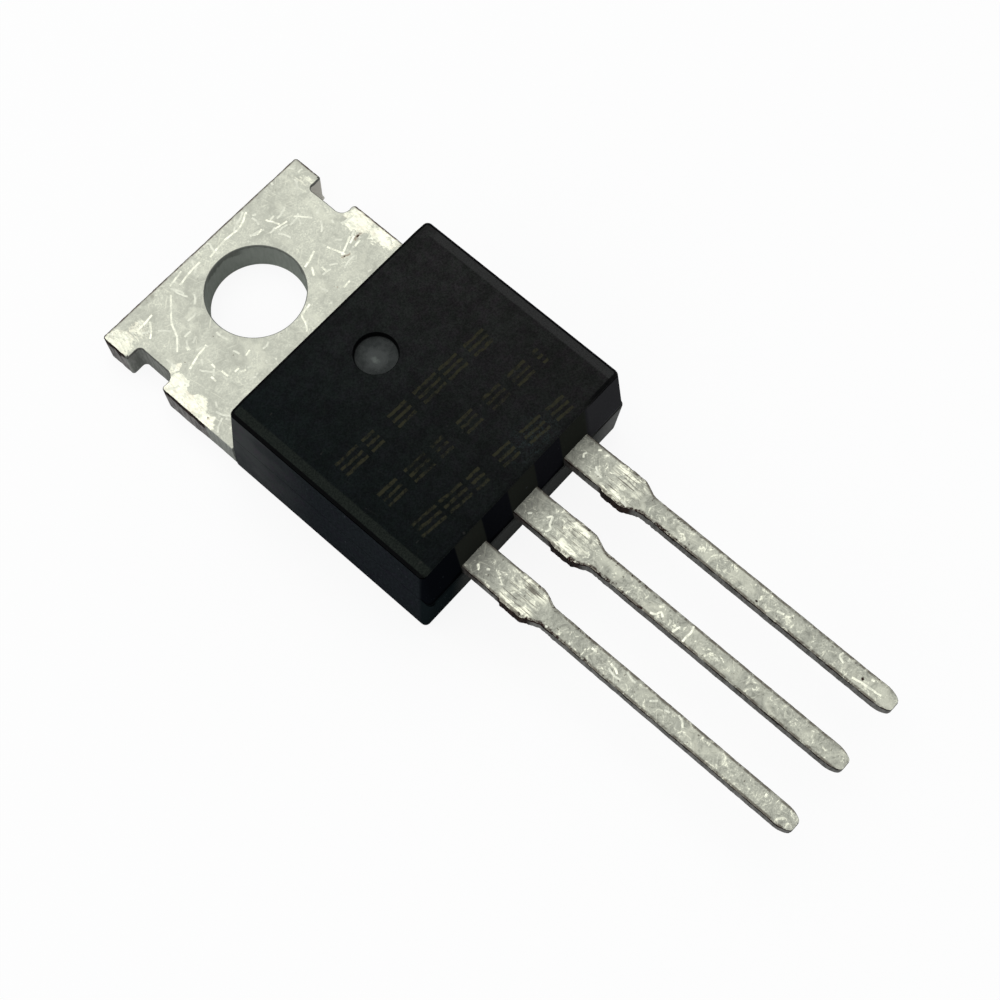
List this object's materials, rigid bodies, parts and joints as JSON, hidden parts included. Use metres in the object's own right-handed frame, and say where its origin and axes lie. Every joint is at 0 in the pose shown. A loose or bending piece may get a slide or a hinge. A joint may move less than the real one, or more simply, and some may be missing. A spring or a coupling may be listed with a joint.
{
  "type": "power transistor",
  "caption": "Plastic power transistor with a drilled metal tab for a heat sink and straight flat leads, for switching and driving loads.",
  "frame": {"origin": "where the axis of the mounting hole meets the back face of the metal tab", "axes": "+Z out of the marked front face along the hole, +Y towards the free end of the tab, +X across the leads from gate to source; the part lies on its metal back"},
  "size_m": [0.01, 0.0289, 0.0045],
  "materials": {
    "plated_copper": "matte tin plating over copper, scratched and cloudy",
    "silicon": "polished silicon",
    "solder": "dull solder",
    "bond_wire": "drawn aluminium wire",
    "moulding_compound": "black epoxy with a fine eroded grain on the front and smoother end walls"
  },
  "bodies": {
    "root": {"tab_and_drain_lead": "plated_copper", "gate_lead": "plated_copper", "source_lead": "plated_copper", "silicon_die": "silicon", "die_solder": "solder", "gate_bond_wire": "bond_wire", "source_bond_wire_1": "bond_wire", "source_bond_wire_2": "bond_wire", "source_bond_wire_3": "bond_wire", "moulded_body": "moulding_compound"}
  },
  "joints": []
}
